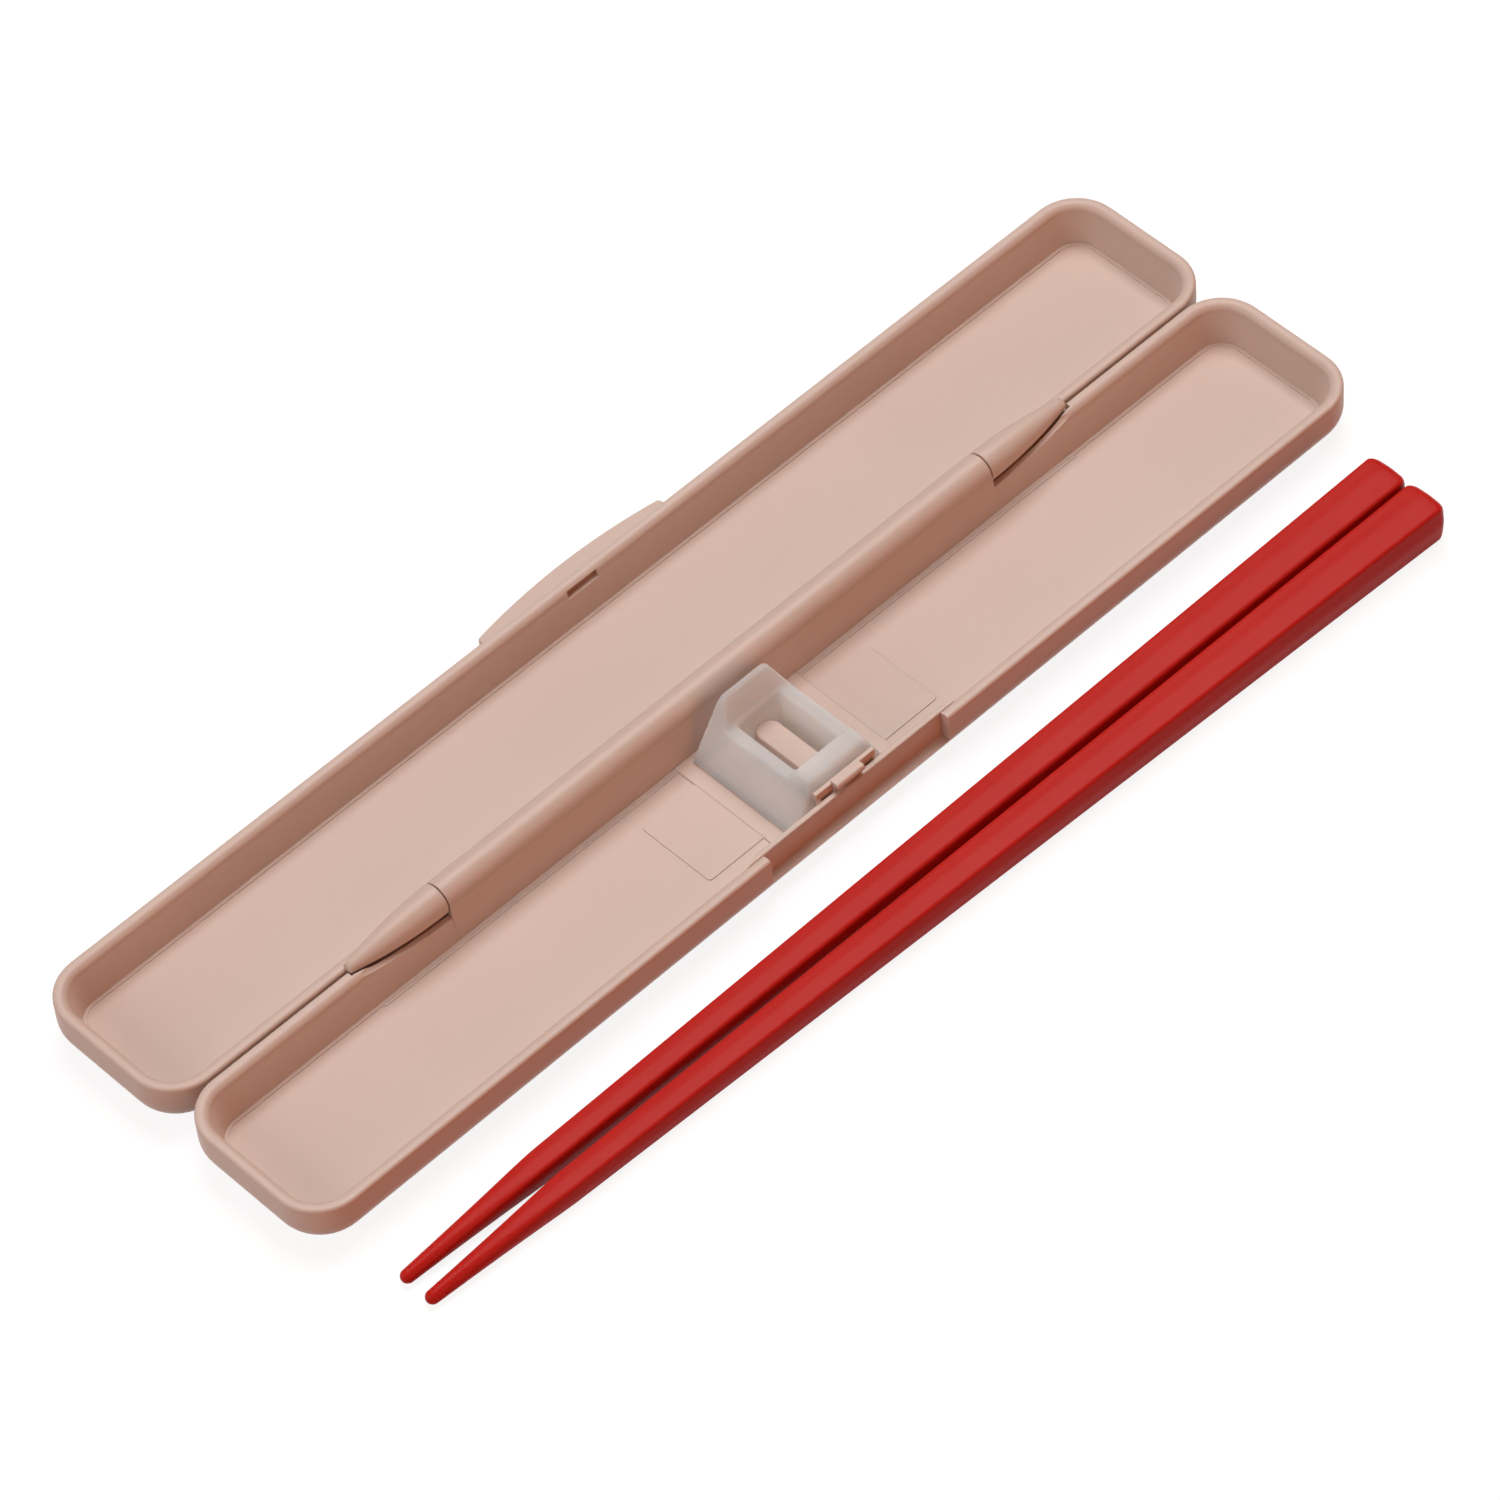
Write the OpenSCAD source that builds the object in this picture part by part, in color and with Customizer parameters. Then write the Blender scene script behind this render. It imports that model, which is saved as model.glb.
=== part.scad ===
/*
Portable chopstick case: two shallow trays joined along one long side by a barrel hinge.
It lies open and flat, both rims up, with a soft cradle in the base and a pair of chopsticks beside it.
X runs along the case, +Y goes from the base to the lid and +Z is up.
The origin is the middle of the base's underside, and all sizes are in millimetres.
*/

/* [Trays] */
// Length of the case
case_len = 195; // [190:1:215]
// Width of each tray
tray_w = 27.6; // [26:0.2:32]
// Height of each tray, from its underside to its rim
tray_h = 7.7; // [6.8:0.1:9]
// Corner radius seen from above
corner_r = 7; // [5:0.5:9]
// Radius of the outer bottom edge
edge_r = 4; // [1.5:0.25:4.5]
// Width of the rim
wall_t = 2; // [1.6:0.1:2.2]
// Thickness of the floor
floor_t = 1.6; // [1.2:0.1:2]
// How far the inner wall curves in at its foot
cove_w = 1.3; // [1:0.1:2]
// Gap between the two trays when they lie open
tray_gap = 0.4; // [0.3:0.05:0.8]
// Gap between the two rims when the case is closed
rim_gap = 0.2; // [0.1:0.05:0.4]

/* [Hinge] */
// Diameter of the base's long hinge barrel
barrel_d = 4.8; // [4.4:0.1:5.6]
// Length of the barrel
barrel_len = 101; // [80:1:110]
// Length of the tapered knuckle at each end of the barrel
knuckle_len = 15.8; // [12:0.1:20]
// Diameter of the knuckle at its thin end
knuckle_tip_d = 1.6; // [1:0.1:2.4]
// Gap between the end of the barrel and a knuckle
knuckle_gap = 0.2; // [0.15:0.05:0.4]
// Diameter of the stub pin on each knuckle
pin_d = 2.4; // [1.8:0.1:3]
// Length of the stub pin inside the barrel
pin_len = 3; // [2:0.1:5]
// Radial clearance of the stub pin in its bore
pin_clear = 0.05; // [0.02:0.01:0.1]
// Clearance past the end of the stub pin
pin_end_clear = 0.3; // [0.2:0.05:0.6]
// Clearance between the barrel and the lid's wall hollowed out for it
hinge_clear = 0.3; // [0.2:0.05:0.4]
// Clearance between a knuckle and the base's wall scooped out for it
scoop_clear = 0.6; // [0.3:0.05:0.8]
// Thickness of the lid's wall behind the barrel
trough_wall_t = 0.9; // [0.7:0.1:1.6]
// Length over which that wall thins out past each end of the barrel
trough_fade = 11; // [4:0.5:14]

/* [Catch] */
// Length of the lid's finger lip
lip_len = 34; // [24:1:44]
// Reach of the finger lip at its middle
lip_reach = 2.2; // [1.6:0.1:3.2]
// Reach of the finger lip at its ends
lip_end_reach = 0.7; // [0.5:0.1:1.2]
// Thickness of the finger lip
lip_t = 1.2; // [0.8:0.1:1.6]
// Length of the finger recess in the base's front wall, under the lip
recess_len = 33; // [23:1:43]
// Depth of the finger recess
recess_depth = 1.5; // [1.2:0.1:1.8]
// Height of the ledge below the finger recess
recess_ledge = 2.9; // [2.4:0.1:4]
// Thickness of the front wall behind the recess, at its rim
recess_wall_t = 0.9; // [0.6:0.1:1.2]
// Width of the catch nib
nib_w = 5; // [3:0.1:7]
// Height of the catch nib
nib_h = 0.8; // [0.7:0.1:1.2]
// How far the nib reaches into the lid's slot
nib_reach = 0.5; // [0.3:0.05:0.7]
// Distance from the lid's rim to the nib when the case is closed
nib_below_rim = 0.6; // [0.4:0.05:0.8]
// Clearance of the nib in the lid's slot
nib_clear = 0.3; // [0.2:0.05:0.4]
// Thickness of the post that carries the nib
nib_post_t = 0.8; // [0.7:0.1:1.2]
// Inside width of the pocket round the nib
pocket_w = 9.6; // [8.6:0.1:11]
// Thickness of the pocket's walls
pocket_wall_t = 0.7; // [0.5:0.1:0.8]
// Height of the pocket's walls above the rim
pocket_rise = 1.3; // [0.6:0.1:1.6]

/* [Base floor] */
// How far the raised band shows past each side of the cradle
band_margin = 2.3; // [1:0.1:4]
// Height of the raised band under the cradle
band_h = 0.25; // [0.15:0.05:0.4]
// Length of the low pad on each side of the band
pad_len = 9.9; // [6:0.1:14]
// Width of the low pads
pad_w = 13.2; // [9:0.1:15]
// Height of the low pads
pad_h = 0.15; // [0.1:0.05:0.3]
// Width of the rib that holds the cradle
rib_w = 3.7; // [2.8:0.1:4.2]
// Height of the rib above the floor
rib_h = 3.9; // [3:0.1:4.4]
// How far the rib runs behind the middle of the tray
rib_back = 5.4; // [4:0.1:6]

/* [Cradle] */
// Length of the cradle's foot along the case
cradle_len = 18.2; // [16:0.1:24]
// Gap between the cradle's foot and the wall behind it
cradle_back_gap = 0.9; // [0.5:0.1:1.2]
// How far the back of the cradle draws in from its foot to its top
back_draw = 1.2; // [0.6:0.1:1.6]
// Height of the seat's edges above the rim of the base
seat_rise = 0.8; // [0.4:0.1:1.4]
// Length of the cradle at the height of the seat
seat_len = 11.9; // [11:0.1:14]
// Width of the seat's edges
seat_edge_w = 2; // [1.4:0.1:2.2]
// How far the seat's inner walls draw in towards its floor
seat_draw = 1; // [0.5:0.1:1.2]
// Thickness of the seat's floor
seat_floor_t = 1.2; // [0.8:0.1:1.6]
// Width of the seat, from its back wall to its front bar
seat_w = 11.5; // [10:0.1:12]
// Length of the back wall's top edge
back_top_len = 8.2; // [6:0.1:9]
// Thickness of the back wall at its top edge
back_top_t = 0.9; // [0.6:0.1:1.4]
// Slope of the back wall's front face, as a run for each unit of height
back_lean = 0.45; // [0.3:0.05:0.6]
// Gap between the cradle's top edge and the floor of the closed lid
cradle_top_gap = 1.2; // [0.3:0.1:2]
// Clearance between the cradle and the hinge wall of the closed lid
cradle_lid_clear = 0.3; // [0.2:0.05:0.5]
// Height of the front bar above the rim of the base
bar_rise = 2.4; // [1.8:0.1:3]
// Slope of the front bar's two faces, as a run
bar_slope = 0.8; // [0.4:0.1:1]
// Clearance between the cradle and the rib or the pocket
cradle_clear = 0.3; // [0.2:0.05:0.4]

/* [Chopsticks] */
// Length of each chopstick
stick_len = 182; // [165:1:195]
// Thickness of the square handle
stick_w = 6.8; // [5:0.1:7]
// Diameter of the tip
stick_tip_d = 2.1; // [1.4:0.1:2.4]
// Length of the tip's quick taper
neck_len = 23; // [18:1:50]
// Thickness at the end of the tip's quick taper
neck_w = 3.7; // [2.6:0.1:4.4]
// Edge radius of the handle and the neck
stick_edge_r = 0.9; // [0.5:0.1:1.2]
// Distance from the base to the nearer chopstick at its handle
stick_offset = 8.9; // [6:0.1:20]
// Distance from the base to the nearer chopstick at its tip
tip_offset = 8.8; // [6:0.1:20]
// Gap between the two handles
handle_gap = 0.4; // [0.3:0.1:4]
// Gap between the two tips
tip_gap = 2.6; // [1:0.1:6]
// How far the chopsticks lie behind the middle of the case, along it
stick_shift = 1.4; // [0:0.1:8]

/* [Hidden] */
case_pink = "#d9bdb0";
cradle_white = "#d3d6d8";
stick_red = "#b82024";
// Sides of every round shape, and of the small rounds that a tapered stick is stretched over
$fn = 64;
stick_fn = 32;
// Steps in the curve of the inner wall
cove_steps = 6;
// Overlap that lets a cut break cleanly through a face
over = 1;
// How deep an inner wall is rooted in the floor, above the rounded bottom edge
wall_root = 0.1;

// Hinge line, and where each tray stands beside it
front_y = -tray_w / 2;
back_y = tray_w / 2;
hinge_y = back_y + tray_gap / 2;
hinge_z = tray_h + rim_gap / 2;
lid_y = tray_w + tray_gap;
lid_far_y = lid_y + back_y;

// Inside of a tray
inner_depth = tray_h - floor_t;
rim_y = back_y - wall_t;
foot_y = rim_y - cove_w;
bottom_r = min(edge_r, corner_r - 0.5, tray_h - rim_gap);

// Hinge
barrel_r = barrel_d / 2;
knuckle_x = barrel_len / 2 + knuckle_gap;
knuckle_drop = barrel_r - knuckle_tip_d / 2;
trough_r = barrel_r + hinge_clear;
trough_y = hinge_y + trough_r + trough_wall_t;

// Catch: the lid's front wall stands over the base's when the case is closed
recess_y = front_y + recess_depth;
recess_in_y = recess_y + recess_wall_t;
closed_wall_y = front_y + wall_t;
nib_z = hinge_z + rim_gap / 2 + nib_below_rim;
nib_tip_y = closed_wall_y - nib_reach;
post_y = closed_wall_y + nib_clear;
slot_z = 2 * hinge_z - nib_z - nib_h;
slot_y = 2 * hinge_y - closed_wall_y;
pocket_out_w = pocket_w + 2 * pocket_wall_t;
pocket_back_y = post_y + nib_post_t + cradle_clear;

// Cradle: heights, then places from the back to the front
band_z = floor_t + band_h;
band_x = cradle_len / 2 + band_margin;
seat_z = tray_h + seat_rise;
bar_z = tray_h + bar_rise;
cradle_top = 2 * hinge_z - floor_t - cradle_top_gap;
seat_floor_z = band_z + seat_floor_t;
cradle_back_y = foot_y - cradle_back_gap;
lid_wall_y = 2 * hinge_y - trough_y - cradle_lid_clear;
back_top_y = min(cradle_back_y - back_draw, lid_wall_y);
cradle_front_y = pocket_back_y + cradle_clear;
bar_front_y = cradle_front_y + bar_slope / 2;
seat_back_y = back_top_y - back_top_t - back_lean * (cradle_top - seat_z);
seat_front_y = seat_back_y - seat_w;
rib_top = floor_t + rib_h;

// Chopsticks
stick_r = stick_w / 2;
tip_r = stick_tip_d / 2;

// Radius of a curve that starts upright and comes in by a given amount over a given drop
function cove_radius(drop, inward) = (drop * drop + inward * inward) / (2 * inward);

// How far that curve has come in, a given way down it
function cove_in(down, radius) = radius - sqrt(radius * radius - down * down);

// Half section of a tray's outside, measured outwards from the centre of its rounded corner
module outer_section() {
    square([corner_r - bottom_r, tray_h]);
    translate([0, bottom_r]) square([corner_r, tray_h - bottom_r]);
    intersection() {
        translate([corner_r - bottom_r, bottom_r]) circle(bottom_r);
        translate([corner_r - bottom_r, 0]) square(bottom_r);
    }
}

// Half section of a tray's hollow: upright at the rim, curving in to the foot
module hollow_section() {
    rim_u = corner_r - wall_t;
    radius = cove_radius(inner_depth, cove_w);
    wall = [for (i = [0:cove_steps])
        let (down = inner_depth * i / cove_steps)
        [rim_u - cove_in(down, radius), tray_h - down]];
    polygon(concat([[0, floor_t], [0, tray_h + over], [rim_u, tray_h + over]], wall));
}

// Carries a half section round a tray's outline and fills the middle from one height to another
module round_tray(low, high) {
    x = case_len / 2 - corner_r;
    y = tray_w / 2 - corner_r;
    for (mx = [0, 1], my = [0, 1])
        mirror([mx, 0, 0]) mirror([0, my, 0])
            translate([x, y, 0]) rotate_extrude(angle = 90) children();
    for (my = [0, 1])
        mirror([0, my, 0]) translate([-x, y, 0]) rotate([90, 0, 90]) linear_extrude(2 * x) children();
    for (mx = [0, 1])
        mirror([mx, 0, 0]) translate([x, y, 0]) rotate([90, 0, 0]) linear_extrude(2 * y) children();
    translate([-x, -y, low]) cube([2 * x, 2 * y, high - low]);
}

// One tray: a shell with a rounded outer bottom edge and a curved inner wall
module tray_shell() {
    difference() {
        round_tray(0, tray_h) outer_section();
        round_tray(floor_t, tray_h + over) hollow_section();
    }
}

// A box given by its lowest and highest corners
module span(low, high) {
    translate(low) cube(high - low);
}

// A round bar on the hinge line, from one place along it to another
module hinge_bar(from, to, radius) {
    translate([from, hinge_y, hinge_z]) rotate([0, 90, 0]) cylinder(h = to - from, r = radius);
}

// Half section of a knuckle's bullet shape from its thick end to its thin end, grown by a clearance
module bullet_section(grow) {
    bullet_r = cove_radius(knuckle_len, knuckle_drop);
    intersection() {
        translate([barrel_r - bullet_r, 0]) circle(bullet_r + grow, $fn = 4 * $fn);
        square([barrel_r + grow, knuckle_len + grow]);
    }
}

// A round shape on the hinge line, turned from a half section that starts at a knuckle's thick end
module knuckle() {
    translate([knuckle_x, hinge_y, hinge_z]) rotate([0, 90, 0]) rotate_extrude() children();
}

// The room that the base's wall leaves for a knuckle to turn in, which starts just inside the barrel's end
module knuckle_room() {
    knuckle() {
        bullet_section(scoop_clear);
        translate([0, -2 * knuckle_gap]) square([barrel_r + scoop_clear, 2 * knuckle_gap]);
    }
}

// Both ends of the hinge
module both_ends() {
    children();
    mirror([1, 0, 0]) children();
}

// The base's hinge barrel, which lies along the top of its back wall
module base_hinge() {
    hinge_bar(-barrel_len / 2, barrel_len / 2, barrel_r);
}

// The bore in each end of the barrel, which runs on through the wall beside it
module pin_bores() {
    half = barrel_len / 2;
    both_ends() hinge_bar(half - pin_len - pin_end_clear, half + over, pin_d / 2 + pin_clear);
}

// The finger recess in the base's front wall
module finger_recess() {
    span([-recess_len / 2, front_y - over, recess_ledge], [recess_len / 2, recess_y, tray_h + over]);
}

// The wall behind the finger recess, which stands further in than the rim
module recess_wall() {
    span([-recess_len / 2 - wall_t, closed_wall_y - wall_t / 2, floor_t - wall_root],
         [recess_len / 2 + wall_t, recess_in_y, tray_h]);
}

// The catch nib on its post, and the pocket's walls behind it and beside it
module catch_nib() {
    post_top = nib_z + nib_h;
    pocket_top = tray_h + pocket_rise;
    span([-nib_w / 2, post_y, floor_t / 2], [nib_w / 2, post_y + nib_post_t, post_top]);
    span([-nib_w / 2, nib_tip_y, nib_z], [nib_w / 2, post_y + over / 2, post_top]);
    both_ends()
        span([pocket_w / 2, post_y, floor_t / 2], [pocket_out_w / 2, pocket_back_y, pocket_top]);
    span([-pocket_out_w / 2, pocket_back_y - pocket_wall_t, floor_t / 2],
         [pocket_out_w / 2, pocket_back_y, pocket_top]);
}

// The rib that holds the cradle, round at its back end, grown by a clearance
module cradle_rib(grow, low, high) {
    half = rib_w / 2 + grow;
    translate([0, rib_back - rib_w / 2, low]) cylinder(h = high - low, r = half);
    span([-half, recess_in_y - recess_wall_t / 2, low], [half, rib_back - rib_w / 2, high]);
}

// The raised band under the cradle, and a low pad on each side of it
module floor_pads() {
    span([-band_x, -rim_y, floor_t / 2], [band_x, rim_y, band_z]);
    both_ends()
        span([band_x - over, -pad_w / 2, floor_t / 2], [band_x + pad_len, pad_w / 2, floor_t + pad_h]);
}

// Lower tray: shell, hinge barrel, catch nib and the seat of the cradle
module base_tray() {
    color(case_pink) union() {
        difference() {
            union() {
                difference() {
                    union() {
                        tray_shell();
                        recess_wall();
                    }
                    finger_recess();
                    both_ends() knuckle_room();
                }
                base_hinge();
            }
            pin_bores();
        }
        floor_pads();
        cradle_rib(0, floor_t / 2, rib_top);
        catch_nib();
    }
}

// The lid's wall behind the barrel, which thins out to the tray's own wall behind the knuckles
module trough_wall() {
    full = knuckle_x + wall_t;
    low_y = lid_y + front_y + wall_t / 2;
    translate([0, 0, floor_t - wall_root]) linear_extrude(inner_depth + wall_root)
        polygon([[-full - trough_fade, low_y], [full + trough_fade, low_y],
                 [full, trough_y], [-full, trough_y]]);
}

// The finger lip on the lid's far rim: a flat tongue with a bowed edge and round ends
module finger_lip() {
    bow_r = cove_radius(lip_len / 2, lip_reach - lip_end_reach);
    translate([0, lid_far_y, tray_h - lip_t]) linear_extrude(lip_t)
        intersection() {
            translate([0, lip_reach - bow_r]) circle(bow_r, $fn = 4 * $fn);
            union() {
                translate([-lip_len / 2 + lip_end_reach, -wall_t / 2])
                    square([lip_len - 2 * lip_end_reach, wall_t / 2 + lip_reach]);
                for (side = [-1, 1])
                    translate([side * (lip_len / 2 - lip_end_reach), 0]) circle(lip_end_reach);
            }
        }
}

// The slot in the lid's far wall that the catch nib snaps into
module catch_slot() {
    half = nib_w / 2 + nib_clear;
    span([-half, slot_y - over, slot_z - nib_clear],
         [half, slot_y + nib_reach + nib_clear, slot_z + nib_h + nib_clear / 2]);
}

// Upper tray, lying open beside the base: shell, knuckles with stub pins, finger lip and catch slot
module lid_tray() {
    half = barrel_len / 2;
    color(case_pink) union() {
        difference() {
            union() {
                translate([0, lid_y, 0]) tray_shell();
                trough_wall();
                finger_lip();
            }
            hinge_bar(-knuckle_x, knuckle_x, trough_r);
            catch_slot();
        }
        both_ends() {
            knuckle() bullet_section(0);
            hinge_bar(half - pin_len, knuckle_x + over, pin_d / 2);
        }
    }
}

// The cradle's outline seen along Y: a wide foot, the seat's edges, and the top of the back wall
module cradle_front_view() {
    polygon([[-cradle_len / 2, band_z], [cradle_len / 2, band_z], [seat_len / 2, seat_z],
             [back_top_len / 2, cradle_top], [-back_top_len / 2, cradle_top], [-seat_len / 2, seat_z]]);
}

// The cradle's outline seen along X: a tall back wall, the seat's edges and the front bar
module cradle_side_view() {
    polygon([[cradle_front_y, band_z], [cradle_back_y, band_z], [back_top_y, cradle_top],
             [back_top_y - back_top_t, cradle_top], [seat_back_y, seat_z], [seat_front_y, seat_z],
             [seat_front_y - bar_slope, bar_z], [bar_front_y, bar_z], [cradle_front_y, seat_z]]);
}

// The hollow of the seat seen along Y, narrower at its floor
module seat_front_view() {
    half = seat_len / 2 - seat_edge_w;
    polygon([[-half + seat_draw, seat_floor_z], [half - seat_draw, seat_floor_z],
             [half, seat_z], [half, cradle_top + over], [-half, cradle_top + over], [-half, seat_z]]);
}

// The hollow of the seat seen along X
module seat_side_view() {
    polygon([[seat_front_y + seat_draw, seat_floor_z], [seat_back_y - seat_draw, seat_floor_z],
             [seat_back_y, seat_z], [seat_front_y, seat_z]]);
}

// Stretches a view seen along Y over the cradle's width
module along_y() {
    translate([0, cradle_back_y + over, 0]) rotate([90, 0, 0])
        linear_extrude(cradle_back_y - cradle_front_y + 2 * over) children();
}

// Stretches a view seen along X over the cradle's length
module along_x() {
    translate([-cradle_len / 2 - over, 0, 0]) rotate([90, 0, 90])
        linear_extrude(cradle_len + 2 * over) children();
}

// Soft cradle that the chopsticks lie across, so that they don't rattle
module chopstick_cradle() {
    color(cradle_white) difference() {
        intersection() {
            along_y() cradle_front_view();
            along_x() cradle_side_view();
        }
        intersection() {
            along_y() seat_front_view();
            along_x() seat_side_view();
        }
        cradle_rib(cradle_clear, band_z - over, rib_top + cradle_clear);
    }
}

// The four rounded corners of a chopstick of a given thickness, at a place along it
module stick_corners(along, thickness) {
    reach = thickness / 2 - stick_edge_r;
    for (side = [-1, 1], level = [stick_edge_r, thickness - stick_edge_r])
        translate([along, side * reach, level]) sphere(stick_edge_r, $fn = stick_fn);
}

// One chopstick lying along +X with its tip at the origin: a square handle that tapers to a round tip
module chopstick() {
    hull() {
        stick_corners(stick_len - stick_edge_r, stick_w);
        stick_corners(neck_len, neck_w);
        translate([tip_r, 0, tip_r]) sphere(tip_r, $fn = stick_fn);
    }
}

// Places a chopstick by the middle of its tip and of its handle's end
module placed_chopstick(tip_y, handle_y) {
    translate([-stick_len / 2 - stick_shift, tip_y, 0])
        rotate(atan2(handle_y - tip_y, stick_len)) chopstick();
}

// Chopstick nearer to the case
module chopstick_rear() {
    color(stick_red)
        placed_chopstick(front_y - tip_offset - tip_r, front_y - stick_offset - stick_r);
}

// Chopstick further from the case
module chopstick_front() {
    color(stick_red)
        placed_chopstick(front_y - tip_offset - stick_tip_d - tip_gap - tip_r,
                         front_y - stick_offset - stick_w - handle_gap - stick_r);
}

base_tray();
lid_tray();
chopstick_cradle();
chopstick_rear();
chopstick_front();
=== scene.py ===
"""Portable chopstick case: the finished look of its trays, hinge, catch, soft cradle and chopsticks.

Sizes in the classes are millimetres in the part's own frame, and every mesh is written in metres.
"""

import logging
import math
from dataclasses import dataclass, field
from enum import Enum

import bmesh
import bpy
import numpy as np
from mathutils import Matrix

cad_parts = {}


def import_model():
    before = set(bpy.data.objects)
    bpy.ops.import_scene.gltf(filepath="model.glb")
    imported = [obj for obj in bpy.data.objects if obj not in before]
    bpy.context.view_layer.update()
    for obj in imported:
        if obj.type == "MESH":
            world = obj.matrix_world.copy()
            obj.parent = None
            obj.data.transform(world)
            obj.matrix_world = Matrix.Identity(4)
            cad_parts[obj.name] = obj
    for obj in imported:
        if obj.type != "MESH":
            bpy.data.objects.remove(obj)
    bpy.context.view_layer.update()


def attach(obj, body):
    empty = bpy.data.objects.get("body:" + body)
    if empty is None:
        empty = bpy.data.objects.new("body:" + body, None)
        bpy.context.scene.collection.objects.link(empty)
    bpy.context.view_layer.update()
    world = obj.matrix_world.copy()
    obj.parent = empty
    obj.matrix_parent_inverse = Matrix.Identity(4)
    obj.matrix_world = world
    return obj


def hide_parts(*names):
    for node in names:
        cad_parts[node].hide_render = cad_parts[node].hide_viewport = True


MM = 0.001
# Outline points closer than this are one, in millimetres.
SAME_POINT = 1e-5
# Vertices closer than these become one, in metres.
SAME_VERTEX = 1e-7
NEAR_VERTEX = 2e-6
# Edges that bend by more than this are shaded as sharp, in degrees.
SHARP_BEND = 60.0
# Radius of the cap that closes a turned shape at its axis.
CORE_R = 0.05
# A step too small to see, which keeps faces apart.
SLIVER = 0.01
# How far a cutting outline runs past a piece.
OVERRUN = 2.0
WHITE = (1.0, 1.0, 1.0, 1.0)
LOG = logging.getLogger("chopstick_case")
Array = np.ndarray
Object = bpy.types.Object
Socket = bpy.types.NodeSocket
Pair = tuple[float, float]
Vector3 = tuple[float, float, float]
Colour = tuple[float, float, float, float]


class Side(Enum):
    """The two ends of the case along X."""

    LEFT = -1
    RIGHT = 1


class Body(Enum):
    """The moving bodies that a piece can ride on."""

    BASE = "base"
    LID = "lid"
    REAR_STICK = "rear_stick"
    FRONT_STICK = "front_stick"


class Slot(Enum):
    """The material slots of the record."""

    CASE = "case_plastic"
    CRADLE = "cradle_elastomer"
    STICK = "stick_red"


def srgb(red: int, green: int, blue: int) -> Colour:
    """Turns an 8-bit screen colour into linear values.

    Args:
        red: Red from 0 to 255.
        green: Green from 0 to 255.
        blue: Blue from 0 to 255.

    Returns:
        Linear red, green, blue and an alpha of one.
    """
    screen = np.array([red, green, blue]) / 255
    linear = np.where(screen <= 0.04045, screen / 12.92, ((screen + 0.055) / 1.055) ** 2.4)
    return (*linear.tolist(), 1.0)


# Outlines and surfaces


def arc(centre: Pair, radius: float, start: float, end: float, steps: int) -> Array:
    """Points on a circular arc: centre plus radius times the cosine and sine of an even turn.

    Args:
        centre: Middle of the circle.
        radius: Radius of the circle.
        start: First angle in degrees.
        end: Last angle in degrees.
        steps: Number of equal steps.

    Returns:
        An array of steps + 1 points.
    """
    angle = np.radians(np.linspace(start, end, steps + 1))
    return np.asarray(centre) + radius * np.stack([np.cos(angle), np.sin(angle)], 1)


def fillet(corners: list[Pair], radii: list[float], steps: int = 6) -> Array:
    """Rounds the corners of a closed outline.

    An arc touches both edges at the radius divided by the tangent of the half angle from the corner,
    and its middle lies on the bisector at the radius divided by the sine of the half angle.

    Args:
        corners: Corner points in order.
        radii: The radius of each corner.
        steps: Steps in each arc.

    Returns:
        The rounded outline as an array of points, without repeats.
    """
    corner = np.asarray(corners, float)
    radius = np.asarray(radii, float)[:, None]
    before, after = np.roll(corner, 1, 0) - corner, np.roll(corner, -1, 0) - corner
    before = before / np.linalg.norm(before, axis=1, keepdims=True)
    after = after / np.linalg.norm(after, axis=1, keepdims=True)
    half = np.arccos(np.clip((before * after).sum(1, keepdims=True), -1, 1)) / 2
    middle = before + after
    centre = corner + middle / np.linalg.norm(middle, axis=1, keepdims=True) * radius / np.sin(half)
    spoke = corner + before * radius / np.tan(half) - centre
    far = corner + after * radius / np.tan(half) - centre
    way = np.sign(spoke[:, 0] * far[:, 1] - spoke[:, 1] * far[:, 0])[:, None]
    angle = way * (math.pi - 2 * half) * np.linspace(0, 1, steps + 1)
    cos, sin = np.cos(angle), np.sin(angle)
    x = spoke[:, :1] * cos - spoke[:, 1:] * sin + centre[:, :1]
    y = spoke[:, :1] * sin + spoke[:, 1:] * cos + centre[:, 1:]
    points = np.stack([x, y], 2).reshape(-1, 2)
    return points[np.linalg.norm(points - np.roll(points, 1, 0), axis=1) > SAME_POINT]


def tongue(half: float, front: float, back: float, steps: int = 12) -> Array:
    """A flat outline with straight sides, a square front and a round back."""
    return fillet([(-half, front), (half, front), (half, back), (-half, back)],
                  [0, 0, half - SLIVER, half - SLIVER], steps)


def add_object(name: str, data: bpy.types.ID) -> Object:
    """Puts a mesh, a camera or a light into the scene.

    Args:
        name: Name of the object.
        data: The mesh, camera or light.

    Returns:
        The new object, at the origin.
    """
    made = bpy.data.objects.new(name, data)
    bpy.context.scene.collection.objects.link(made)
    return made


def mesh_object(name: str, rings: Array) -> Object:
    """Makes an object from rings of points.

    Four-sided faces join each ring to the next, all the way round, and a cap closes each end.

    Args:
        name: Name of the object.
        rings: Points in millimetres, as rings x points x 3.

    Returns:
        The new object, with its faces pointing outwards.
    """
    index = np.arange(rings[..., 0].size).reshape(rings.shape[:2])
    ahead = np.roll(index, -1, 1)
    quads = np.stack([index[:-1], ahead[:-1], ahead[1:], index[1:]], 2).reshape(-1, 4)
    caps = [index[0, ::-1].tolist(), index[-1].tolist()]
    mesh = bpy.data.meshes.new(name)
    mesh.from_pydata((rings.reshape(-1, 3) * MM).tolist(), [], quads.tolist() + caps)
    work = bmesh.new()
    work.from_mesh(mesh)
    bmesh.ops.remove_doubles(work, verts=work.verts, dist=SAME_VERTEX)
    bmesh.ops.recalc_face_normals(work, faces=work.faces)
    work.to_mesh(mesh)
    work.free()
    return add_object(name, mesh)


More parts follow.
